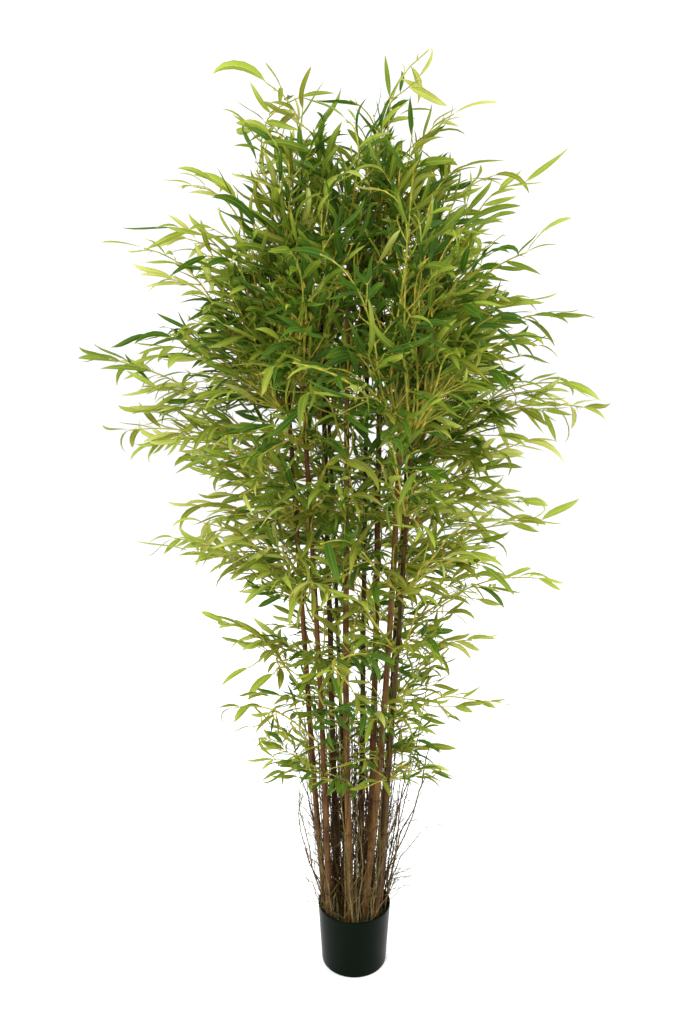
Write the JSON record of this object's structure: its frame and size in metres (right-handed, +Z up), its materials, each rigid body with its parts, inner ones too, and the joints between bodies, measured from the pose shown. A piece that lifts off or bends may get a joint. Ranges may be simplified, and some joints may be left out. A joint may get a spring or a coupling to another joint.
{
  "type": "artificial bamboo plant in a pot",
  "caption": "Artificial bamboo plant: a sheaf of slender canes in a small tapered pot, with tiers of narrow arching leaves and a fringe of fine twigs.",
  "frame": {"origin": "centre of the pot's flat underside", "axes": "+Z up, -Y towards the front, +X to the right seen from the front"},
  "size_m": [0.966, 0.7142, 1.8],
  "materials": {
    "pot": "satin moulded plastic",
    "fill": "cement covered with dry moss",
    "cane": "natural brown bamboo bark",
    "stem": "yellow green moulded stem",
    "leaf": "matt printed fabric"
  },
  "bodies": {
    "root": {"bough_foot_front": "stem", "bough_foot_left": "stem", "bough_foot_right": "stem", "bough_side_left": "stem", "bough_side_right": "stem", "bough_skirt_back": "stem", "bough_skirt_front": "stem", "bough_skirt_right": "stem", "cane_01": "cane", "cane_02": "cane", "cane_03": "cane", "cane_04": "cane", "cane_05": "cane", "cane_06": "cane", "cane_07": "cane", "cane_08": "cane", "cane_09": "cane", "cane_10": "cane", "cane_11": "cane", "fill": "fill", "leaves_crest_centre": "leaf", "leaves_crest_left": "leaf", "leaves_crest_right": "leaf", "leaves_crest_tall": "leaf", "leaves_foot_front": "leaf", "leaves_foot_left": "leaf", "leaves_foot_right": "leaf", "leaves_high_back_left": "leaf", "leaves_high_back_right": "leaf", "leaves_high_front_left": "leaf", "leaves_high_front_right": "leaf", "leaves_high_left": "leaf", "leaves_high_right": "leaf", "leaves_low_back_left": "leaf", "leaves_low_back_right": "leaf", "leaves_low_front_left": "leaf", "leaves_low_front_right": "leaf", "leaves_low_left": "leaf", "leaves_low_right": "leaf", "leaves_middle_back_left": "leaf", "leaves_middle_back_right": "leaf", "leaves_middle_front_left": "leaf", "leaves_middle_front_right": "leaf", "leaves_middle_left": "leaf", "leaves_middle_right": "leaf", "leaves_shoulder_back": "leaf", "leaves_shoulder_front": "leaf", "leaves_shoulder_left": "leaf", "leaves_shoulder_right": "leaf", "leaves_side_left": "leaf", "leaves_side_right": "leaf", "leaves_skirt_back": "leaf", "leaves_skirt_front": "leaf", "leaves_skirt_right": "leaf", "leaves_upper_back": "leaf", "leaves_upper_back_right": "leaf", "leaves_upper_front": "leaf", "leaves_upper_front_right": "leaf", "leaves_upper_left": "leaf", "pot": "pot"}
  },
  "joints": []
}
